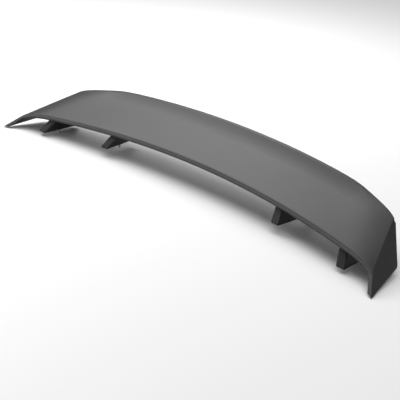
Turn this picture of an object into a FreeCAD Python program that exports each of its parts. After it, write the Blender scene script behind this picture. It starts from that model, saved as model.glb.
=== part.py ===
import FreeCAD, Part
import math
import os

# Boot-lid rear wing, in millimetres: X across the car, Y rearward, Z up.
# The origin lies midway between the two inner studs, level with the underside of the inner feet.

V = FreeCAD.Vector

# Blade in plan: lowest line of the nose and top rear edge, as curves over the half span
NOSE_HALF_SPAN = 611.0
SPAN_TAPER = 51.0
EDGE_HALF_SPAN = NOSE_HALF_SPAN - SPAN_TAPER
NOSE_Y = -26.0
NOSE_SWEEP = 84.0
EDGE_Y = 160.0
EDGE_SWEEP = 67.0

# Blade seen from behind: crown of both edges and the turn-down of the shoulders
NOSE_Z = 42.4
NOSE_CROWN = 29.0
NOSE_DROOP = 12.5
NOSE_DROOP_LENGTH = 66.0
EDGE_Z = 128.3
EDGE_CROWN = 26.0
EDGE_CORNER_DROP = 4.0
EDGE_CORNER_LENGTH = 30.0
SHOULDER_X = 425.0
SHOULDER_SOFTNESS = 30.0
SHOULDER_SWEEP = 0.14
SHOULDER_FALL = 0.135

# Blade section
NOSE_RADIUS = 8.5
NOSE_BOTTOM_SHARE = 0.4
BELLY_PLACE = 0.45
BELLY_THICKNESS = 18.0
EDGE_THICKNESS = 12.0
EDGE_LEAN = 2.0
LIP_WIDTH = 11.0
LIP_SLOPE = 0.10
KICK_HEIGHT = 12.0
KICK_LENGTH = 46.0
LIP_FADE_START = 390.0
LIP_FADE_END = 500.0

# Two-shell wall, and the panel that closes the blade from below
WALL = 3.0
PANEL_THICKNESS = 3.0
PANEL_LEDGE = 5.0
PANEL_NOSE_MARGIN = 14.0
PANEL_EDGE_MARGIN = 12.0
PANEL_END_MARGIN = 42.0
BOND_GAP = 0.2

# End plates: flat outer faces that trim the blade, from the nose down to the tip and back to the heel
END_TRIM = 26.0
TIP_REACH = V(39.0, -48.3, -26.0)
HEEL_REACH = V(-20.2, 153.4, 21.0)
PLATE_THICKNESS = 9.0
PLATE_SHEAR = V(-0.888, 0.420, 0.187)
PLATE_LAP = 2.0
TIP_HEIGHT = 2.5
CREASE_SINK = 0.3
CORNER_SHARE = 0.8
HEEL_RADIUS = 20.0
COVER_LOW_FRAME = 7.0
COVER_REAR_FRAME = 12.0
COVER_TOP_FRAME = 34.0
COVER_FRONT_FRAME = 50.0
COVER_LEDGE = 4.0

# Legs, each set out from its stud
INNER_STUD_X = 310.0
OUTER_STUD_INSET = 83.0
OUTER_STUD_DROP = 0.5
INNER_YAW = 6.0
OUTER_YAW = 0.0
INNER_LEAN = 0.4
OUTER_LEAN = 0.42
STUD_SETBACK = 68.0
STUD_OFFSET = 5.0
FOOT_LENGTH = 150.0
LEG_THICKNESS = 25.0
LEG_FRONT_RAKE = 0.80
LEG_REAR_RAKE = 0.25
LEG_EDGE_RADIUS = 3.0
LEG_WALL = 3.0
LEG_FLOOR = 5.0
LEG_BOND_GAP = 0.5

# Hardware in the feet
GASKET_THICKNESS = 2.5
GASKET_INSET = 1.5
GASKET_HOLE_CLEARANCE = 2.0
STUD_RADIUS = 3.0
STUD_SHANK_RADIUS = 2.65
STUD_PROTRUSION = 12.0
STUD_POINT = 1.0
INSERT_RADIUS = 4.5
INSERT_LENGTH = 13.0
INSERT_BOSS_WALL = 2.5
THREAD_CLEARANCE = 0.05

# Screws that hold each leg to the panel
SCREW_RADIUS = 2.0
SCREW_DEPTH = 15.0
SCREW_HEAD_RADIUS = 4.0
SCREW_CROWN_RADIUS = 2.8
SCREW_HEAD_HEIGHT = 2.6
SCREW_SEAT_GAP = 0.15
SCREW_BOSS_WALL = 2.5
SCREW_HOLE_CLEARANCE = 0.3
SCREW_SETBACKS = (50.0, 112.0)

# Heights that only have to clear the model when a tool solid is made
LEG_BLANK_SHARE = 0.8
CLEAR_HEIGHT = 260.0
CLEAR_REACH = 40.0


def smooth_step(value, start, end):
    share = min(1.0, max(0.0, (value - start) / (end - start)))
    return share * share * (3.0 - 2.0 * share)


def shoulder(x):
    past = abs(x) - SHOULDER_X
    return 0.5 * (past + math.hypot(past, SHOULDER_SOFTNESS))


def nose_point(x):
    share = (x / NOSE_HALF_SPAN) ** 2
    past = max(0.0, abs(x) - NOSE_HALF_SPAN + NOSE_DROOP_LENGTH) / NOSE_DROOP_LENGTH
    return V(x, NOSE_Y - NOSE_SWEEP * share, NOSE_Z - NOSE_CROWN * share - NOSE_DROOP * past * past)


def edge_point(x):
    share = (x / EDGE_HALF_SPAN) ** 2
    bend = shoulder(x)
    past = max(0.0, abs(x) - EDGE_HALF_SPAN + EDGE_CORNER_LENGTH) / EDGE_CORNER_LENGTH
    corner = EDGE_CORNER_DROP * past * past
    y = EDGE_Y - EDGE_SWEEP * share - SHOULDER_SWEEP * bend - corner
    z = EDGE_Z - EDGE_CROWN * share - SHOULDER_FALL * bend - corner
    return V(x, y, z)


def bezier(start, pull, end):
    curve = Part.BezierCurve()
    curve.setPoles([start, pull, end])
    return curve.toShape()


def line(start, end):
    return Part.LineSegment(start, end).toShape()


def closed_polygon(points):
    return Part.makePolygon(points + [points[0]])


class Station:
    """One upright section of the blade, at a share of the half span from -1 to 1."""

    def __init__(self, share):
        self.nose = nose_point(NOSE_HALF_SPAN * share)
        edge = edge_point(EDGE_HALF_SPAN * share)
        run = V(edge.x - self.nose.x, edge.y - self.nose.y, 0.0)
        self.length = run.Length
        self.along = run / run.Length
        self.rise = edge.z - self.nose.z
        lip = 1.0 - smooth_step(abs(edge.x), LIP_FADE_START, LIP_FADE_END)
        self.kick = KICK_HEIGHT * lip
        self.lip_at = self.length - LIP_WIDTH
        self.kick_at = self.lip_at - KICK_LENGTH
        self.bottom_at = NOSE_BOTTOM_SHARE * NOSE_RADIUS
        self.set_slope(lip)
        self.set_belly()

    def set_slope(self, lip):
        # The top leaves the nose arc at its own slope, so slope and tangent point are found together.
        self.slope = self.rise / self.length
        for _ in range(6):
            angle = math.atan(self.slope)
            self.top_at = self.bottom_at - NOSE_RADIUS * math.sin(angle)
            self.top_start = NOSE_RADIUS + NOSE_RADIUS * math.cos(angle)
            lip_slope = self.slope + (LIP_SLOPE - self.slope) * lip
            self.lip_height = self.rise - LIP_WIDTH * lip_slope
            climb = self.lip_height - self.kick - self.top_start
            self.slope = climb / (self.lip_at - self.top_at)

    def set_belly(self):
        # The underside is a parabola from the nose, through the belly, to the foot of the rear face.
        place = BELLY_PLACE * self.length
        low = self.top(place) - BELLY_THICKNESS
        far = self.length - EDGE_LEAN - self.bottom_at
        near = place - self.bottom_at
        end = self.rise - EDGE_THICKNESS
        self.curve = (end / far - low / near) / (far - near)
        self.pitch = low / near - self.curve * near

    def top(self, w):
        past = max(0.0, (w - self.kick_at) / KICK_LENGTH)
        return self.top_start + self.slope * (w - self.top_at) + self.kick * past * past

    def under(self, w):
        run = w - self.bottom_at
        return self.pitch * run + self.curve * run * run

    def at(self, w, h):
        return self.nose + self.along * w + V(0.0, 0.0, h)

    def under_edge(self, start, end, lift):
        middle = 0.5 * (start + end)
        slope = self.pitch + 2.0 * self.curve * (start - self.bottom_at)
        pull = self.under(start) + slope * (middle - start) + lift
        first = self.at(start, self.under(start) + lift)
        return bezier(first, self.at(middle, pull), self.at(end, self.under(end) + lift))

    def top_edges(self, start, end, drop):
        # A straight run, then the parabola that kicks up to the lip.
        middle = 0.5 * (self.kick_at + end)
        pull = self.top_start + self.slope * (middle - self.top_at) - drop
        kick = self.at(self.kick_at, self.top(self.kick_at) - drop)
        last = self.at(end, self.top(end) - drop)
        run = line(self.at(start, self.top(start) - drop), kick)
        return [run, bezier(kick, self.at(middle, pull), last)]

    def crown(self):
        return self.at(self.top_at, self.top_start)


def blade_wire(station):
    bottom = station.at(station.bottom_at, 0.0)
    front = station.at(station.bottom_at - NOSE_RADIUS, NOSE_RADIUS)
    crown = station.crown()
    edge = station.at(station.length, station.rise)
    back = station.at(station.length - EDGE_LEAN, station.rise - EDGE_THICKNESS)
    nose = Part.Arc(bottom, front, crown).toShape()
    top = station.top_edges(station.top_at, station.lip_at, 0.0)
    lip = line(station.at(station.lip_at, station.lip_height), edge)
    under = station.under_edge(station.length - EDGE_LEAN, station.bottom_at, 0.0)
    return Part.Wire([nose] + top + [lip, line(edge, back), under])


def hollow_wire(station, margin, ceiling):
    """A wire open to below: from the underside up to a ceiling curve, between nose and rear margins."""
    start = PANEL_NOSE_MARGIN - margin
    end = station.length - PANEL_EDGE_MARGIN + margin
    roof = ceiling(station, start, end)
    first = roof[0].Vertexes[0].Point
    last = roof[-1].Vertexes[-1].Point
    low_end = V(last.x, last.y, station.at(end, station.under(end)).z - CLEAR_REACH)
    low_start = V(first.x, first.y, station.at(start, station.under(start)).z - CLEAR_REACH)
    return Part.Wire(roof + [line(last, low_end), line(low_end, low_start), line(low_start, first)])


def under_top(station, start, end):
    return station.top_edges(start, end, WALL)


def ledge_roof(station, start, end):
    return [station.under_edge(start, end, PANEL_THICKNESS + BOND_GAP)]


def panel_wire(station):
    start = PANEL_NOSE_MARGIN - PANEL_LEDGE + BOND_GAP
    end = station.length - PANEL_EDGE_MARGIN + PANEL_LEDGE - BOND_GAP
    low = station.under_edge(start, end, 0.0)
    high = station.under_edge(end, start, PANEL_THICKNESS)
    rear = line(low.Vertexes[-1].Point, high.Vertexes[0].Point)
    front = line(high.Vertexes[-1].Point, low.Vertexes[0].Point)
    return Part.Wire([low, rear, high, front])


def above_wire(station):
    start = -2.0 * CLEAR_REACH
    end = station.length + CLEAR_REACH
    low = station.under_edge(start, end, -LEG_BOND_GAP)
    first = low.Vertexes[0].Point
    last = low.Vertexes[-1].Point
    high_last = last + V(0.0, 0.0, CLEAR_HEIGHT)
    high_first = first + V(0.0, 0.0, CLEAR_HEIGHT)
    return Part.Wire([low, line(last, high_last), line(high_last, high_first), line(high_first, first)])


SPAN_SHARES = (0.0, 0.25, 0.46, 0.62, 0.74, 0.83, 0.90, 0.95, 1.0)


def span_loft(make_wire, end_margin):
    """Loft a section over the whole span, stopping short of the nominal blade ends by end_margin."""
    reach = 1.0 - end_margin / NOSE_HALF_SPAN
    half = [share * reach for share in SPAN_SHARES]
    shares = [-share for share in reversed(half[1:])] + half
    return Part.makeLoft([make_wire(Station(share)) for share in shares], True)


TIP = nose_point(NOSE_HALF_SPAN) + TIP_REACH
HEEL = TIP + HEEL_REACH
CORNER = edge_point(EDGE_HALF_SPAN)
FACE = (HEEL - TIP).cross(CORNER - TIP).normalize()
SHEAR = PLATE_SHEAR * (PLATE_THICKNESS / -FACE.dot(PLATE_SHEAR))


def knee():
    """Point where the crown of the nose meets the plate's outer face."""
    low, high = 0.9, 1.0 + END_TRIM / NOSE_HALF_SPAN
    for _ in range(40):
        share = 0.5 * (low + high)
        point = Station(share).crown()
        if FACE.dot(point - TIP) < 0.0:
            low = share
        else:
            high = share
    return point


def plate_solid():
    """The plate as its outer face, sheared inwards so that its lower edge stays level."""
    upward = FACE.cross(HEEL_REACH).normalize()
    sunk_knee = knee() - upward * CREASE_SINK
    tip_top = TIP + upward * TIP_HEIGHT
    end = Station(1.0)
    corner = CORNER - end.along * (EDGE_LEAN * CORNER_SHARE) - V(0.0, 0.0, EDGE_THICKNESS * CORNER_SHARE)
    corner.x += FACE.dot(TIP - corner) / FACE.x
    rear = (corner - HEEL).normalize()
    forward = (TIP - HEEL).normalize()
    middle = (forward + rear).normalize()
    half_angle = forward.getAngle(rear) / 2.0
    tangent = HEEL_RADIUS / math.tan(half_angle)
    low = HEEL + forward * tangent
    high = HEEL + rear * tangent
    round_heel = HEEL + middle * (HEEL_RADIUS / math.sin(half_angle) - HEEL_RADIUS)
    edges = [line(TIP, low), Part.Arc(low, round_heel, high).toShape(), line(high, corner)]
    edges += [line(corner, sunk_knee), line(sunk_knee, tip_top), line(tip_top, TIP)]
    outline = Part.Wire(edges)
    outline.translate(SHEAR * -PLATE_LAP)
    return Part.Face(outline).extrude(SHEAR * (1.0 + PLATE_LAP))


def beyond_plate():
    """Everything outside the plate's outer face."""
    along = (HEEL - TIP).normalize() * CLEAR_HEIGHT
    across = FACE.cross(along)
    corners = [TIP - along - across, TIP + along * 2.0 - across]
    corners += [TIP + along * 2.0 + across, TIP - along + across]
    return Part.Face(closed_polygon(corners)).extrude(FACE * CLEAR_HEIGHT)


def inset(corners, margins):
    """Corners of a flat outline on the plate, each edge moved inwards by its own margin."""
    moved = []
    for i, corner in enumerate(corners):
        arriving = (corner - corners[i - 1]).normalize()
        leaving = (corners[(i + 1) % len(corners)] - corner).normalize()
        turn = FACE.dot(arriving.cross(leaving))
        moved.append(corner + (leaving * margins[i - 1] - arriving * margins[i]) / turn)
    return moved


def cover_slab(inwards, start, end):
    """A slab let into the plate's inner face, inset further by inwards, between two depths from outside."""
    corners = [point + SHEAR for point in (TIP, HEEL, CORNER, knee())]
    frames = (COVER_LOW_FRAME, COVER_REAR_FRAME, COVER_TOP_FRAME, COVER_FRONT_FRAME)
    outline = inset(corners, [frame + inwards for frame in frames])
    lift = FACE * (PLATE_THICKNESS - start)
    return Part.Face(closed_polygon([point + lift for point in outline])).extrude(FACE * (start - end))


def mirrored(shape):
    return shape.mirror(V(0.0, 0.0, 0.0), V(1.0, 0.0, 0.0))


class Foot:
    """One right-hand foot: its directions, the middle of its front edge, and its leg's screws."""

    def __init__(self, stud, yaw, lean):
        angle = math.radians(yaw)
        self.stud = stud
        self.back = V(math.sin(angle), math.cos(angle), 0.0)
        self.out = V(math.cos(angle), -math.sin(angle), 0.0)
        self.rise = V(0.0, 0.0, 1.0) - self.out * lean
        self.front = stud - self.back * STUD_SETBACK + self.out * STUD_OFFSET
        self.base = self.front + self.rise * GASKET_THICKNESS
        self.screws = [self.screw_place(setback) for setback in SCREW_SETBACKS]

    def slab(self, start, profile, thickness):
        """Extrude a side profile, given as run and height pairs, evenly about the leg's middle plane."""
        points = [start + self.back * u + self.rise * z - self.out * (thickness / 2.0) for u, z in profile]
        return Part.Face(closed_polygon(points)).extrude(self.out * thickness)

    def screw_place(self, setback):
        """Point where a screw's axis meets the blade's underside, and the direction up through the blade."""
        ground = self.base + self.back * setback
        place = ground
        share = ground.x / NOSE_HALF_SPAN
        for _ in range(12):
            station = Station(share)
            w = (place - station.nose).dot(station.along)
            under = station.at(w, station.under(w))
            place = ground + self.rise * (under.z - ground.z)
            share += (place.x - under.x) / NOSE_HALF_SPAN
        slope = station.pitch + 2.0 * station.curve * (w - station.bottom_at)
        normal = V(0.0, 0.0, 1.0) - station.along * slope
        return under, normal.normalize()


def leg_outline(floor, wall):
    front_wall = wall * math.hypot(1.0, LEG_FRONT_RAKE)
    rear_wall = wall * math.hypot(1.0, LEG_REAR_RAKE)
    apex = FOOT_LENGTH / (LEG_FRONT_RAKE + LEG_REAR_RAKE)
    outline = []
    for height in (floor, LEG_BLANK_SHARE * apex):
        outline.append((height * LEG_FRONT_RAKE + front_wall, height))
        outline.append((FOOT_LENGTH - height * LEG_REAR_RAKE - rear_wall, height))
    first, second, third, fourth = outline
    return [first, second, fourth, third]


def leg_parts(foot, above):
    """Leg, gasket, insert, stud and screws of one foot."""
    up = V(0.0, 0.0, 1.0)
    seat = foot.stud + up * GASKET_THICKNESS
    body = foot.slab(foot.base, leg_outline(0.0, 0.0), LEG_THICKNESS)
    rising = [edge for edge in body.Edges if edge.BoundBox.ZLength > LEG_EDGE_RADIUS]
    body = body.makeFillet(LEG_EDGE_RADIUS, rising).cut(above)
    hollow = foot.slab(foot.base, leg_outline(LEG_FLOOR, LEG_WALL), LEG_THICKNESS - 2.0 * LEG_WALL)
    boss_radius = INSERT_RADIUS + INSERT_BOSS_WALL
    bosses = [Part.makeCylinder(boss_radius, INSERT_LENGTH + INSERT_BOSS_WALL, seat, up)]
    for point, normal in foot.screws:
        start = point - normal * CLEAR_HEIGHT
        column_radius = SCREW_RADIUS + SCREW_BOSS_WALL
        bosses.append(Part.makeCylinder(column_radius, CLEAR_HEIGHT + CLEAR_REACH, start, normal))
    leg = body.cut(hollow).fuse([boss.common(body) for boss in bosses])
    insert = Part.makeCylinder(INSERT_RADIUS, INSERT_LENGTH, seat, up)
    leg = leg.cut(insert)
    for point, normal in foot.screws:
        tip = point - normal * SCREW_DEPTH
        pilot = SCREW_RADIUS + THREAD_CLEARANCE
        leg = leg.cut(Part.makeCylinder(pilot, SCREW_DEPTH + CLEAR_REACH, tip, normal))
    bore = Part.makeCylinder(STUD_SHANK_RADIUS + THREAD_CLEARANCE, INSERT_LENGTH, seat, up)
    return {
        "leg": leg.removeSplitter(),
        "gasket": foot_gasket(foot),
        "insert": insert.cut(bore),
        "stud": threaded_stud(foot.stud),
        "screws": Part.makeCompound([leg_screw(point, normal) for point, normal in foot.screws]),
    }


def foot_gasket(foot):
    length = FOOT_LENGTH - GASKET_INSET
    low = [(GASKET_INSET, 0.0), (length, 0.0)]
    outline = low + [(length, GASKET_THICKNESS), (GASKET_INSET, GASKET_THICKNESS)]
    pad = foot.slab(foot.front, outline, LEG_THICKNESS - 2.0 * GASKET_INSET)
    hole = STUD_RADIUS + GASKET_HOLE_CLEARANCE
    return pad.cut(Part.makeCylinder(hole, GASKET_THICKNESS, foot.stud, V(0.0, 0.0, 1.0)))


def threaded_stud(stud):
    """A stud whose thread stands out of the foot, on the shank that the insert holds."""
    up = V(0.0, 0.0, 1.0)
    thread = STUD_PROTRUSION - STUD_POINT
    rod = Part.makeCylinder(STUD_RADIUS, thread, stud - up * thread, up)
    tip = stud - up * STUD_PROTRUSION
    point = Part.makeCone(STUD_RADIUS - STUD_POINT, STUD_RADIUS, STUD_POINT, tip, up)
    shank = Part.makeCylinder(STUD_SHANK_RADIUS, GASKET_THICKNESS + INSERT_LENGTH, stud, up)
    return rod.fuse([point, shank]).removeSplitter()


def leg_screw(point, normal):
    seat = PANEL_THICKNESS + SCREW_SEAT_GAP
    tip = point - normal * (SCREW_DEPTH - SCREW_RADIUS)
    shank = Part.makeCylinder(SCREW_RADIUS, SCREW_DEPTH - SCREW_RADIUS + seat, tip, normal)
    under = point + normal * seat
    head = Part.makeCone(SCREW_HEAD_RADIUS, SCREW_CROWN_RADIUS, SCREW_HEAD_HEIGHT, under, normal)
    return shank.fuse(head).removeSplitter()


def wing_skin():
    blade = span_loft(blade_wire, -END_TRIM)
    plate = plate_solid()
    beyond = beyond_plate()
    skin = blade.fuse([plate, mirrored(plate)]).cut([beyond, mirrored(beyond)])
    hollow = span_loft(lambda s: hollow_wire(s, 0.0, under_top), PANEL_END_MARGIN)
    ledge = span_loft(lambda s: hollow_wire(s, PANEL_LEDGE, ledge_roof), PANEL_END_MARGIN - PANEL_LEDGE)
    pocket = cover_slab(COVER_LEDGE, WALL, PLATE_THICKNESS + PLATE_LAP)
    mouth = cover_slab(0.0, PLATE_THICKNESS - PANEL_THICKNESS - BOND_GAP, PLATE_THICKNESS + PLATE_LAP)
    cuts = [hollow, ledge, pocket, mouth, mirrored(pocket), mirrored(mouth)]
    return skin.cut(cuts)


def under_panel(screw_places):
    panel = span_loft(panel_wire, PANEL_END_MARGIN - PANEL_LEDGE + BOND_GAP)
    radius = SCREW_RADIUS + SCREW_HOLE_CLEARANCE
    holes = []
    for point, normal in screw_places:
        start = point - normal * PANEL_THICKNESS
        hole = Part.makeCylinder(radius, 3.0 * PANEL_THICKNESS, start, normal)
        holes += [hole, mirrored(hole)]
    return panel.cut(holes)


def main():
    os.makedirs("parts", exist_ok=True)
    above = span_loft(above_wire, -END_TRIM)
    inner = V(INNER_STUD_X, 0.0, 0.0)
    outer_x = NOSE_HALF_SPAN - OUTER_STUD_INSET
    outer = inner + nose_point(outer_x) - nose_point(INNER_STUD_X) - V(0.0, 0.0, OUTER_STUD_DROP)
    feet = {"inner": Foot(inner, INNER_YAW, INNER_LEAN), "outer": Foot(outer, OUTER_YAW, OUTER_LEAN)}
    parts = {"wing_skin": wing_skin()}
    for row, foot in feet.items():
        for kind, shape in leg_parts(foot, above).items():
            parts[f"{row}_{kind}_right"] = shape
            parts[f"{row}_{kind}_left"] = mirrored(shape)
    parts["under_panel"] = under_panel([place for foot in feet.values() for place in foot.screws])
    cover = cover_slab(BOND_GAP, PLATE_THICKNESS - PANEL_THICKNESS, PLATE_THICKNESS)
    parts["end_cover_right"] = cover
    parts["end_cover_left"] = mirrored(cover)
    for node, shape in parts.items():
        shape.exportStep(f"parts/{node}.step")
        print(node, len(shape.Solids), shape.isValid(), round(shape.Volume, 1), shape.BoundBox)


main()
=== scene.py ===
import math

import bmesh
import bpy
from mathutils import Matrix, Vector


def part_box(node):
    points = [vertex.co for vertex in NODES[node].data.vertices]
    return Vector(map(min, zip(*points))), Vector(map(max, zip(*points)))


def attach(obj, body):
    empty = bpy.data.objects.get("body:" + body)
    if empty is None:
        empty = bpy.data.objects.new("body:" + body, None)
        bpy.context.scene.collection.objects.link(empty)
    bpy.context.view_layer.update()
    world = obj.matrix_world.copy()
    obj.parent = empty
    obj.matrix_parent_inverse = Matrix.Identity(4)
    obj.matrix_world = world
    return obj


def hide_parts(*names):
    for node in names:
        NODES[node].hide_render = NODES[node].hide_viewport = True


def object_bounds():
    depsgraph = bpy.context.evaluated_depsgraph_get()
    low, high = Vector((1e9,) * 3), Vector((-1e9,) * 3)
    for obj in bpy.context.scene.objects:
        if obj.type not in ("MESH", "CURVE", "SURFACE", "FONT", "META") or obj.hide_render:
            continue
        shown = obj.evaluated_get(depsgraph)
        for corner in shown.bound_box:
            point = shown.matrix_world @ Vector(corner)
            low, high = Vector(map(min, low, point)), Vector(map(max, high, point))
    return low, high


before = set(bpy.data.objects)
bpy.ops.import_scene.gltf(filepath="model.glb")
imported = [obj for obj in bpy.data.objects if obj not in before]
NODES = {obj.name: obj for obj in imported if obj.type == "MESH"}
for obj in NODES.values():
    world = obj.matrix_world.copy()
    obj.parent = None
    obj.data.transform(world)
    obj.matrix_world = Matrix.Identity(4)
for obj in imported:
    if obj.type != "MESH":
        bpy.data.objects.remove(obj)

bl_info = {
    "name": "Rear wing",
    "version": (1, 0, 0),
    "blender": (4, 5, 0),
    "location": "View3D > Sidebar > Wing",
    "description": "Dresses the packed rear wing and sets it on a studio stage",
    "category": "Object",
}

CAD_LOW, CAD_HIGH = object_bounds()
SIDES = ("left", "right")
ROWS = ("inner", "outer")
MM = 0.001

# A mix node's sockets for floats and for colours, by place, as they share their names.
FLOAT_A, FLOAT_B, FLOAT_RESULT = 2, 3, 0
COLOUR_A, COLOUR_B, COLOUR_RESULT = 6, 7, 2
MIX_FACTOR = 0

# Length after which a wave texture of scale 1 repeats.
WAVE_LENGTH = 0.314

# Corners of the stud's rounds, of a turn of its thread and of the thread's ridge.
ROUND_CORNERS = 32
TURN_CORNERS = 24
RIDGE_CORNERS = 4

# Sines of the height angles over which the studio brightens towards the zenith.
GLOW_START = 0.8
GLOW_FULL = 0.95

FLOOR_SIDE = 60.0
SENSOR_WIDTH = 36.0
WHITE = (1.0, 1.0, 1.0, 1.0)


def linear(hex_colour):
    """An sRGB hex colour as linear RGBA."""
    channels = [int(hex_colour[i:i + 2], 16) / 255.0 for i in (0, 2, 4)]
    return [c / 12.92 if c <= 0.04045 else ((c + 0.055) / 1.055) ** 2.4 for c in channels] + [1.0]


def add_node(tree, kind, settings=None, inputs=None, links=None):
    """Add a node, set its properties and sockets, and link other nodes' outputs into it."""
    node = tree.nodes.new(kind)
    for key, value in (settings or {}).items():
        setattr(node, key, value)
    for key, value in (inputs or {}).items():
        node.inputs[key].default_value = value
    for key, source in (links or {}).items():
        tree.links.new(source, node.inputs[key])
    return node


def new_material(name, shader):
    """A material of one Principled shader with these constants, and its Object coordinates."""
    material = bpy.data.materials.new(name)
    material.use_nodes = True
    tree = material.node_tree
    tree.nodes.clear()
    surface = add_node(tree, "ShaderNodeBsdfPrincipled", inputs=shader)
    add_node(tree, "ShaderNodeOutputMaterial", links={"Surface": surface.outputs["BSDF"]})
    place = add_node(tree, "ShaderNodeTexCoord").outputs["Object"]
    return material, tree, surface, place


def mottle(tree, surface, pattern, dark, light, smooth, rough, bump):
    """Let a pattern carry the colour from dark to light and the roughness from smooth to rough."""
    colour = add_node(tree, "ShaderNodeMix", {"data_type": "RGBA"}, {COLOUR_A: dark, COLOUR_B: light},
                      {MIX_FACTOR: pattern})
    sheen = add_node(tree, "ShaderNodeMapRange", inputs={"To Min": smooth, "To Max": rough},
                     links={"Value": pattern})
    tree.links.new(colour.outputs[COLOUR_RESULT], surface.inputs["Base Color"])
    tree.links.new(sheen.outputs["Result"], surface.inputs["Roughness"])
    tree.links.new(bump.outputs["Normal"], surface.inputs["Normal"])


def moulded_abs(name, dark, light, smooth, rough, finish, edge):
    # ABS from a spark-eroded mould: dark and even, with a broad satin sheen that a fine grain breaks up,
    # faint clouds where the melt flowed, and edges that are never quite sharp.
    material, tree, surface, place = new_material(name, {"IOR": 1.54, "Specular IOR Level": 0.3})
    clouds = add_node(tree, "ShaderNodeTexNoise", inputs={"Scale": 1.0 / finish.cloud, "Detail": 3.0},
                      links={"Vector": place})
    pits = add_node(tree, "ShaderNodeTexNoise", inputs={"Scale": 1.0 / finish.grain, "Detail": 2.0},
                    links={"Vector": place})
    soft = add_node(tree, "ShaderNodeBevel", {"samples": 6}, {"Radius": edge})
    bump = add_node(tree, "ShaderNodeBump", None, {"Strength": 0.25, "Distance": 0.05 * MM},
                    {"Height": pits.outputs["Fac"], "Normal": soft.outputs["Normal"]})
    mottle(tree, surface, clouds.outputs["Fac"], dark, light, smooth, rough, bump)
    return material


def closed_cell_foam(name, dark, light, cell):
    # Sheet of closed-cell rubber foam: dull and black, pocked with small cells where it was cut.
    material, tree, surface, place = new_material(name, {"IOR": 1.45, "Specular IOR Level": 0.2})
    cells = add_node(tree, "ShaderNodeTexVoronoi", inputs={"Scale": 1.0 / cell}, links={"Vector": place})
    bump = add_node(tree, "ShaderNodeBump", None, {"Strength": 0.6, "Distance": 0.3 * MM},
                    {"Height": cells.outputs["Distance"]})
    mottle(tree, surface, cells.outputs["Distance"], dark, light, smooth=0.85, rough=0.98, bump=bump)
    return material


def zinc_plate(name, dark, light, spangle):
    # Bright zinc plating on steel: cool silver with a slight cloudy bloom.
    material, tree, surface, place = new_material(name, {"Metallic": 1.0})
    bloom = add_node(tree, "ShaderNodeTexNoise", inputs={"Scale": 1.0 / spangle, "Detail": 4.0},
                     links={"Vector": place})
    bump = add_node(tree, "ShaderNodeBump", None, {"Strength": 0.2, "Distance": 0.02 * MM},
                    {"Height": bloom.outputs["Fac"]})
    mottle(tree, surface, bloom.outputs["Fac"], dark, light, smooth=0.28, rough=0.46, bump=bump)
    return material


def turned_brass(name, dark, light, groove):
    # Brass bar turned on a lathe: warm yellow, ringed by the tool's fine grooves.
    material, tree, surface, place = new_material(name, {"Metallic": 1.0})
    rings = add_node(tree, "ShaderNodeTexWave", {"wave_type": "BANDS", "bands_direction": "Z"},
                     {"Scale": WAVE_LENGTH / groove, "Distortion": 0.4}, {"Vector": place})
    bump = add_node(tree, "ShaderNodeBump", None, {"Strength": 0.4, "Distance": 0.05 * MM},
                    {"Height": rings.outputs["Fac"]})
    mottle(tree, surface, rings.outputs["Fac"], dark, light, smooth=0.22, rough=0.36, bump=bump)
    return material


def studio_paper(name, dark, light, fibre):
    # Roll of studio paper: pale and matte, with a fibre too faint to read as a pattern.
    material, tree, surface, place = new_material(name, {"Specular IOR Level": 0.1})
    fibres = add_node(tree, "ShaderNodeTexNoise", inputs={"Scale": 1.0 / fibre}, links={"Vector": place})
    bump = add_node(tree, "ShaderNodeBump", None, {"Strength": 0.1, "Distance": 0.02 * MM},
                    {"Height": fibres.outputs["Fac"]})
    mottle(tree, surface, fibres.outputs["Fac"], dark, light, smooth=0.92, rough=0.98, bump=bump)
    return material


def dress(names, material):
    """Give CAD nodes a material."""
    for name in names:
        slots = NODES[name].data.materials
        slots.clear()
        slots.append(material)


def node_names(kind):
    """The CAD nodes of a kind that every leg has."""
    return [f"{row}_{kind}_{side}" for row in ROWS for side in SIDES]


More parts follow.
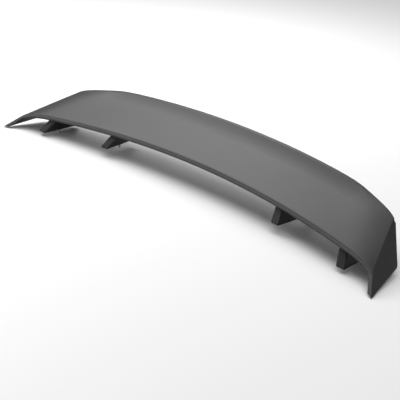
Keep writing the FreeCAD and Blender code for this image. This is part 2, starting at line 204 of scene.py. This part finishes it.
def stud_tree(sizes, material):
    """Nodes that stand a stud on each point: bevelled tip, threaded run and plain shank, from the tip up."""
    tree = bpy.data.node_groups.new("threaded_studs", "GeometryNodeTree")
    tree.interface.new_socket("Points", in_out="INPUT", socket_type="NodeSocketGeometry")
    for name in sizes:
        tree.interface.new_socket(name, in_out="INPUT", socket_type="NodeSocketFloat")
    tree.interface.new_socket("Studs", in_out="OUTPUT", socket_type="NodeSocketGeometry")
    given = add_node(tree, "NodeGroupInput").outputs
    helix = add_node(tree, "GeometryNodeCurveSpiral", None, {"Resolution": TURN_CORNERS},
                     {"Rotations": given["Turns"], "Start Radius": given["Core radius"],
                      "End Radius": given["Core radius"], "Height": given["Run"]})
    upright = add_node(tree, "GeometryNodeSetCurveNormal", {"mode": "Z_UP"},
                       links={"Curve": helix.outputs["Curve"]})
    diamond = add_node(tree, "GeometryNodeCurvePrimitiveCircle", None, {"Resolution": RIDGE_CORNERS},
                       {"Radius": given["Ridge"]})
    thread = add_node(tree, "GeometryNodeCurveToMesh", None, {"Fill Caps": True},
                      {"Curve": upright.outputs["Curve"], "Profile Curve": diamond.outputs["Curve"]})
    rod = add_node(tree, "GeometryNodeMeshCone", None, {"Vertices": ROUND_CORNERS},
                   {"Radius Top": given["Core radius"], "Radius Bottom": given["Core radius"],
                    "Depth": given["Run"]})
    tip = add_node(tree, "GeometryNodeMeshCone", None, {"Vertices": ROUND_CORNERS},
                   {"Radius Top": given["Core radius"], "Radius Bottom": given["Tip radius"],
                    "Depth": given["Tip length"]})
    shank = add_node(tree, "GeometryNodeMeshCone", None, {"Vertices": ROUND_CORNERS},
                     {"Radius Top": given["Shank radius"], "Radius Bottom": given["Shank radius"],
                      "Depth": given["Shank length"]})
    run = add_node(tree, "GeometryNodeJoinGeometry")
    tree.links.new(thread.outputs["Mesh"], run.inputs["Geometry"])
    tree.links.new(rod.outputs["Mesh"], run.inputs["Geometry"])
    above_tip = add_node(tree, "ShaderNodeCombineXYZ", links={"Z": given["Tip length"]}).outputs["Vector"]
    raised_run = add_node(tree, "GeometryNodeTransform",
                          links={"Geometry": run.outputs["Geometry"], "Translation": above_tip})
    above_run = add_node(tree, "ShaderNodeCombineXYZ", links={"Z": given["Reach"]}).outputs["Vector"]
    raised_shank = add_node(tree, "GeometryNodeTransform",
                            links={"Geometry": shank.outputs["Mesh"], "Translation": above_run})
    stud = add_node(tree, "GeometryNodeJoinGeometry")
    tree.links.new(tip.outputs["Mesh"], stud.inputs["Geometry"])
    tree.links.new(raised_run.outputs["Geometry"], stud.inputs["Geometry"])
    tree.links.new(raised_shank.outputs["Geometry"], stud.inputs["Geometry"])
    placed = add_node(tree, "GeometryNodeInstanceOnPoints",
                      links={"Points": given["Points"], "Instance": stud.outputs["Geometry"]})
    real = add_node(tree, "GeometryNodeRealizeInstances", links={"Geometry": placed.outputs["Instances"]})
    plated = add_node(tree, "GeometryNodeSetMaterial", None, {"Material": material},
                      {"Geometry": real.outputs["Geometry"]})
    add_node(tree, "NodeGroupOutput", links={"Studs": plated.outputs["Geometry"]})
    return tree


class WingFinish(bpy.types.PropertyGroup):
    """Colours and grain of the mouldings."""

    skin_dark: bpy.props.FloatVectorProperty(
        name="Skin dark", description="Darker clouds of the wing skin", size=4, subtype="COLOR",
        default=linear("2b2b2b"))
    skin_light: bpy.props.FloatVectorProperty(
        name="Skin light", description="Lighter clouds of the wing skin", size=4, subtype="COLOR",
        default=linear("303030"))
    panel_dark: bpy.props.FloatVectorProperty(
        name="Panel dark", description="Darker clouds of the under panel and end covers", size=4,
        subtype="COLOR", default=linear("1c1c1c"))
    panel_light: bpy.props.FloatVectorProperty(
        name="Panel light", description="Lighter clouds of the under panel and end covers", size=4,
        subtype="COLOR", default=linear("212121"))
    # The legs are the same ABS as the skin. Their darker colours are painted shade for where they stand
    # under the wing.
    leg_painted_shade_dark: bpy.props.FloatVectorProperty(
        name="Leg dark", description="Darker clouds of the legs", size=4, subtype="COLOR",
        default=linear("161616"))
    leg_painted_shade_light: bpy.props.FloatVectorProperty(
        name="Leg light", description="Lighter clouds of the legs", size=4, subtype="COLOR",
        default=linear("1b1b1b"))
    # The real grain is about 0.3 mm, too fine to show, so it is drawn coarser.
    grain: bpy.props.FloatProperty(
        name="Grain", description="Size of the mould's grain", default=1.2 * MM, unit="LENGTH")
    cloud: bpy.props.FloatProperty(
        name="Cloud", description="Size of the melt's faint clouds", default=70.0 * MM, unit="LENGTH")
    skin_edge: bpy.props.FloatProperty(
        name="Skin edge", description="Softness of the skin's edges", default=2.5 * MM, unit="LENGTH")
    panel_edge: bpy.props.FloatProperty(
        name="Panel edge", description="Softness of the panel's and covers' edges", default=0.75 * MM,
        unit="LENGTH")
    leg_edge: bpy.props.FloatProperty(
        name="Leg edge", description="Softness of the legs' edges", default=1.0 * MM, unit="LENGTH")


class WingHardware(bpy.types.PropertyGroup):
    """Sizes of the studs and of the small patterns on the hardware."""

    pitch: bpy.props.FloatProperty(
        name="Pitch", description="Pitch of the stud's thread", default=1.0 * MM, unit="LENGTH")
    tip: bpy.props.FloatProperty(
        name="Tip", description="Length of the stud's bevelled tip", default=1.0 * MM, unit="LENGTH")
    shank: bpy.props.FloatProperty(
        name="Shank", description="Radius of the stud inside its insert", default=2.65 * MM, unit="LENGTH")
    cell: bpy.props.FloatProperty(
        name="Cell", description="Size of the foam's cells", default=1.0 * MM, unit="LENGTH")
    spangle: bpy.props.FloatProperty(
        name="Spangle", description="Size of the zinc's cloudy bloom", default=1.5 * MM, unit="LENGTH")
    groove: bpy.props.FloatProperty(
        name="Groove", description="Spacing of the brass's turning grooves", default=0.5 * MM, unit="LENGTH")


class WingStage(bpy.types.PropertyGroup):
    """Camera, floor and lights."""

    azimuth: bpy.props.FloatProperty(
        name="Azimuth", description="Camera's turn round the wing", subtype="ANGLE",
        default=math.radians(36.71))
    elevation: bpy.props.FloatProperty(
        name="Elevation", description="Camera's height angle", subtype="ANGLE",
        default=math.radians(23.284))
    roll: bpy.props.FloatProperty(
        name="Roll", description="Camera's turn about its own axis", subtype="ANGLE",
        default=math.radians(7.854))
    distance: bpy.props.FloatProperty(
        name="Distance", description="From the aim point to the camera", default=2.4585, unit="LENGTH")
    aim: bpy.props.FloatVectorProperty(
        name="Aim", description="Point on the camera's axis", unit="LENGTH",
        default=(0.0316, -0.0253, -0.0392))
    lens: bpy.props.FloatProperty(
        name="Lens", description="Focal length in millimetres", default=80.1)
    shift: bpy.props.FloatProperty(
        name="Shift", description="Vertical shift of the frame", default=-0.0075)
    paper_dark: bpy.props.FloatVectorProperty(
        name="Paper dark", description="Darker fibres of the paper floor", size=4, subtype="COLOR",
        default=linear("e0e0e0"))
    paper_light: bpy.props.FloatVectorProperty(
        name="Paper light", description="Lighter fibres of the paper floor", size=4, subtype="COLOR",
        default=linear("e4e4e4"))
    fibre: bpy.props.FloatProperty(
        name="Fibre", description="Size of the paper's fibres", default=3.0 * MM, unit="LENGTH")
    softbox_place: bpy.props.FloatVectorProperty(
        name="Softbox", description="Middle of the softbox above the wing", unit="LENGTH",
        default=(-1.5, 0.6, 1.9))
    softbox_width: bpy.props.FloatProperty(
        name="Softbox width", description="Level side of the softbox", default=3.4, unit="LENGTH")
    softbox_height: bpy.props.FloatProperty(
        name="Softbox height", description="Sloping side of the softbox", default=1.4, unit="LENGTH")
    softbox_power: bpy.props.FloatProperty(
        name="Softbox power", description="Power of the softbox", default=66.0, unit="POWER")
    strip_place: bpy.props.FloatVectorProperty(
        name="Strip", description="Middle of the strip light low in front of the nose", unit="LENGTH",
        default=(-1.05, -1.65, 0.3))
    strip_width: bpy.props.FloatProperty(
        name="Strip width", description="Level side of the strip light", default=2.4, unit="LENGTH")
    strip_height: bpy.props.FloatProperty(
        name="Strip height", description="Upright side of the strip light", default=0.5, unit="LENGTH")
    strip_power: bpy.props.FloatProperty(
        name="Strip power", description="Power of the strip light", default=25.0, unit="POWER")
    ambient: bpy.props.FloatProperty(
        name="Ambient", description="Brightness of the studio all round", default=0.18)
    zenith: bpy.props.FloatProperty(
        name="Zenith", description="Brightness of the studio straight above", default=2.4)
    backdrop: bpy.props.FloatProperty(
        name="Backdrop", description="Brightness of the studio behind the floor's far edge", default=0.55)


class WING_OT_mouldings(bpy.types.Operator):
    """Finish the skin, the under panel, the end covers and the legs"""

    bl_idname = "wing.mouldings"
    bl_label = "Mouldings"

    def execute(self, context):
        finish = context.scene.wing_finish
        skin = moulded_abs("satin_abs_skin", finish.skin_dark, finish.skin_light,
                           smooth=0.39, rough=0.44, finish=finish, edge=finish.skin_edge)
        panel = moulded_abs("grained_abs_panel", finish.panel_dark, finish.panel_light,
                            smooth=0.5, rough=0.58, finish=finish, edge=finish.panel_edge)
        # The legs' darker base colour is painted shade from the wing above them, not a different plastic.
        leg = moulded_abs("satin_abs_leg_painted_shade", finish.leg_painted_shade_dark, finish.leg_painted_shade_light,
                          smooth=0.45, rough=0.52, finish=finish, edge=finish.leg_edge)
        dress(["wing_skin"], skin)
        dress(["under_panel"] + [f"end_cover_{side}" for side in SIDES], panel)
        dress(node_names("leg"), leg)
        return {"FINISHED"}


class WING_OT_hardware(bpy.types.Operator):
    """Finish the gaskets, inserts and screws"""

    bl_idname = "wing.hardware"
    bl_label = "Hardware"

    def execute(self, context):
        sizes = context.scene.wing_hardware
        foam = closed_cell_foam("closed_cell_foam", linear("121212"), linear("202020"), sizes.cell)
        zinc = zinc_plate("zinc_plated_screw", linear("a3a7aa"), linear("c2c5c7"), sizes.spangle)
        brass = turned_brass("turned_brass", linear("b08a3e"), linear("cfae62"), sizes.groove)
        dress(node_names("gasket"), foam)
        dress(node_names("screws"), zinc)
        dress(node_names("insert"), brass)
        return {"FINISHED"}


class WING_OT_studs(bpy.types.Operator):
    """Build the threaded studs under the feet"""

    bl_idname = "wing.studs"
    bl_label = "Studs"

    def execute(self, context):
        hardware = context.scene.wing_hardware
        tips = []
        for stud, gasket in zip(node_names("stud"), node_names("gasket")):
            low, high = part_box(stud)
            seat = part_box(gasket)[0].z
            tips.append(((low.x + high.x) / 2.0, (low.y + high.y) / 2.0, low.z))
        # The four studs are alike, so the last one's box gives the sizes of all.
        ridge = hardware.pitch / 2.0
        core = (high.x - low.x) / 2.0 - ridge
        reach = seat - low.z
        run = reach - hardware.tip
        sizes = {
            "Core radius": core,
            "Ridge": ridge,
            "Turns": run / hardware.pitch,
            "Run": run,
            "Tip radius": core - hardware.tip,
            "Tip length": hardware.tip,
            "Reach": reach,
            "Shank radius": hardware.shank,
            "Shank length": high.z - seat,
        }
        points = bpy.data.meshes.new("stud_points")
        points.from_pydata(tips, [], [])
        studs = bpy.data.objects.new("studs", points)
        context.scene.collection.objects.link(studs)
        zinc = zinc_plate("zinc_plated_stud", linear("8d9194"), linear("b4b8ba"), hardware.spangle)
        tree = stud_tree(sizes, zinc)
        modifier = studs.modifiers.new("threaded_studs", "NODES")
        modifier.node_group = tree
        for socket in tree.interface.items_tree:
            if socket.in_out == "INPUT" and socket.name in sizes:
                modifier[socket.identifier] = sizes[socket.name]
        made = bpy.data.meshes.new_from_object(studs.evaluated_get(context.evaluated_depsgraph_get()))
        studs.modifiers.remove(modifier)
        solid = bmesh.new()
        solid.from_mesh(made)
        bmesh.ops.recalc_face_normals(solid, faces=solid.faces)
        solid.to_mesh(made)
        solid.free()
        studs.data = made
        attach(studs, "root")
        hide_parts(*node_names("stud"))
        return {"FINISHED"}


class WING_OT_stage(bpy.types.Operator):
    """Add the floor, the lights and the camera"""

    bl_idname = "wing.stage"
    bl_label = "Stage"

    def execute(self, context):
        stage = context.scene.wing_stage
        self.add_camera(context, stage)
        self.add_floor(context, stage)
        self.add_surround(context, stage)
        self.add_lamp(context, "softbox", stage.softbox_place, stage.softbox_width, stage.softbox_height,
                      stage.softbox_power)
        self.add_lamp(context, "strip", stage.strip_place, stage.strip_width, stage.strip_height,
                      stage.strip_power)
        context.scene.view_settings.view_transform = "Standard"
        return {"FINISHED"}

    def add_camera(self, context, stage):
        back = Vector((math.sin(stage.azimuth) * math.cos(stage.elevation),
                       -math.cos(stage.azimuth) * math.cos(stage.elevation), math.sin(stage.elevation)))
        level = Vector((math.cos(stage.azimuth), math.sin(stage.azimuth), 0.0))
        upright = back.cross(level)
        right = level * math.cos(stage.roll) + upright * math.sin(stage.roll)
        up = back.cross(right)
        camera = bpy.data.objects.new("camera", bpy.data.cameras.new("camera"))
        context.scene.collection.objects.link(camera)
        turn = Matrix((right, up, back)).transposed().to_4x4()
        camera.matrix_world = Matrix.Translation(Vector(stage.aim) + back * stage.distance) @ turn
        camera.data.lens = stage.lens
        camera.data.sensor_width = SENSOR_WIDTH
        camera.data.shift_y = stage.shift
        context.scene.camera = camera

    def add_floor(self, context, stage):
        bpy.ops.mesh.primitive_plane_add(size=FLOOR_SIDE, location=(0.0, 0.0, CAD_LOW.z))
        floor = context.object
        floor.name = "floor"
        paper = studio_paper("studio_paper", stage.paper_dark, stage.paper_light, stage.fibre)
        floor.data.materials.append(paper)

    def add_surround(self, context, stage):
        world = bpy.data.worlds.new("studio")
        world.use_nodes = True
        tree = world.node_tree
        direction = add_node(tree, "ShaderNodeTexCoord").outputs["Generated"]
        height = add_node(tree, "ShaderNodeSeparateXYZ", links={"Vector": direction}).outputs["Z"]
        glow = add_node(tree, "ShaderNodeMapRange", {"interpolation_type": "SMOOTHSTEP"},
                        {"From Min": GLOW_START, "From Max": GLOW_FULL,
                         "To Min": stage.ambient, "To Max": stage.zenith},
                        {"Value": height})
        seen = add_node(tree, "ShaderNodeLightPath").outputs["Is Camera Ray"]
        shown = add_node(tree, "ShaderNodeMix", None, {FLOAT_B: stage.backdrop},
                         {MIX_FACTOR: seen, FLOAT_A: glow.outputs["Result"]})
        sky = tree.nodes["Background"]
        sky.inputs["Color"].default_value = WHITE
        tree.links.new(shown.outputs[FLOAT_RESULT], sky.inputs["Strength"])
        context.scene.world = world

    def add_lamp(self, context, name, place, width, height, power):
        lamp = bpy.data.lights.new(name, "AREA")
        lamp.shape = "RECTANGLE"
        lamp.size = width
        lamp.size_y = height
        lamp.energy = power
        holder = bpy.data.objects.new(name, lamp)
        context.scene.collection.objects.link(holder)
        holder.location = place
        holder.rotation_euler = (-holder.location).to_track_quat("-Z", "Y").to_euler()
        holder.visible_camera = False


class WING_PT_build(bpy.types.Panel):
    """Lists the wing's operators"""

    bl_idname = "WING_PT_build"
    bl_label = "Rear wing"
    bl_space_type = "VIEW_3D"
    bl_region_type = "UI"
    bl_category = "Wing"

    def draw(self, context):
        for operator in OPERATORS:
            self.layout.operator(operator.bl_idname)


GROUPS = (WingFinish, WingHardware, WingStage)
OPERATORS = (WING_OT_mouldings, WING_OT_hardware, WING_OT_studs, WING_OT_stage)


def register():
    for cls in GROUPS + OPERATORS + (WING_PT_build,):
        bpy.utils.register_class(cls)
    bpy.types.Scene.wing_finish = bpy.props.PointerProperty(type=WingFinish)
    bpy.types.Scene.wing_hardware = bpy.props.PointerProperty(type=WingHardware)
    bpy.types.Scene.wing_stage = bpy.props.PointerProperty(type=WingStage)


def unregister():
    del bpy.types.Scene.wing_stage
    del bpy.types.Scene.wing_hardware
    del bpy.types.Scene.wing_finish
    for cls in reversed(GROUPS + OPERATORS + (WING_PT_build,)):
        bpy.utils.unregister_class(cls)


def main():
    register()
    bpy.ops.wing.mouldings()
    bpy.ops.wing.hardware()
    bpy.ops.wing.studs()
    bpy.ops.wing.stage()


if __name__ == "__main__":
    main()
